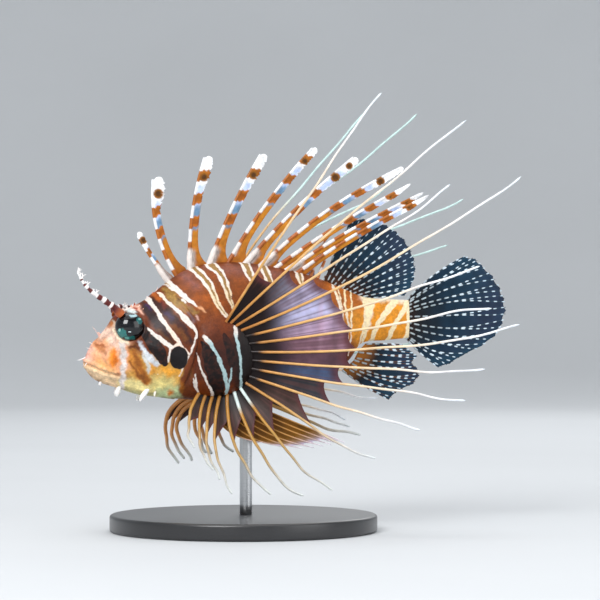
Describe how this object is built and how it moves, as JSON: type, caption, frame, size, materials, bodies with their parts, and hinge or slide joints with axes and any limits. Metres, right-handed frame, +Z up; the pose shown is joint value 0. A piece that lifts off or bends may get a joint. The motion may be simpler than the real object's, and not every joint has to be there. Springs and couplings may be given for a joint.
{
  "type": "spotfin lionfish on a display stand",
  "caption": "Still life-size lionfish with fanned pectoral fins on long free rays, banded dorsal spines and a branched brow tentacle, held by one rod on a round base.",
  "frame": {"origin": "centre of the underside of the round display base", "axes": "+Z up, the head points to -X, the left flank faces -Y"},
  "size_m": [0.1873, 0.1198, 0.1789],
  "materials": {
    "skin": "smooth wet skin, maroon brown with cream bands, orange tail root and pink snout",
    "eye": "clear glossy cornea over a black pupil and teal iris",
    "tentacle": "soft skin, pinkish white with maroon bands",
    "dorsal_spine": "skin over spine, orange brown and white bands, amber web",
    "soft_fin": "thin dark blue web with rows of white dashes on the rays",
    "fan_fin": "thin lilac brown web, tan rays that fade to white threads",
    "stand_base": "satin black",
    "stand_rod": "brushed"
  },
  "bodies": {
    "root": {"head": "skin", "torso": "skin", "tail_peduncle": "skin", "eye_left": "eye", "eye_right": "eye", "tentacle_left": "tentacle", "tentacle_right": "tentacle", "dorsal_fin_spiny": "dorsal_spine", "dorsal_fin_soft": "soft_fin", "caudal_fin": "soft_fin", "anal_fin": "soft_fin", "pectoral_fin_left": "fan_fin", "pectoral_fin_right": "fan_fin", "pelvic_fin_left": "fan_fin", "pelvic_fin_right": "fan_fin", "stand_base": "stand_base", "stand_rod": "stand_rod"}
  },
  "joints": []
}
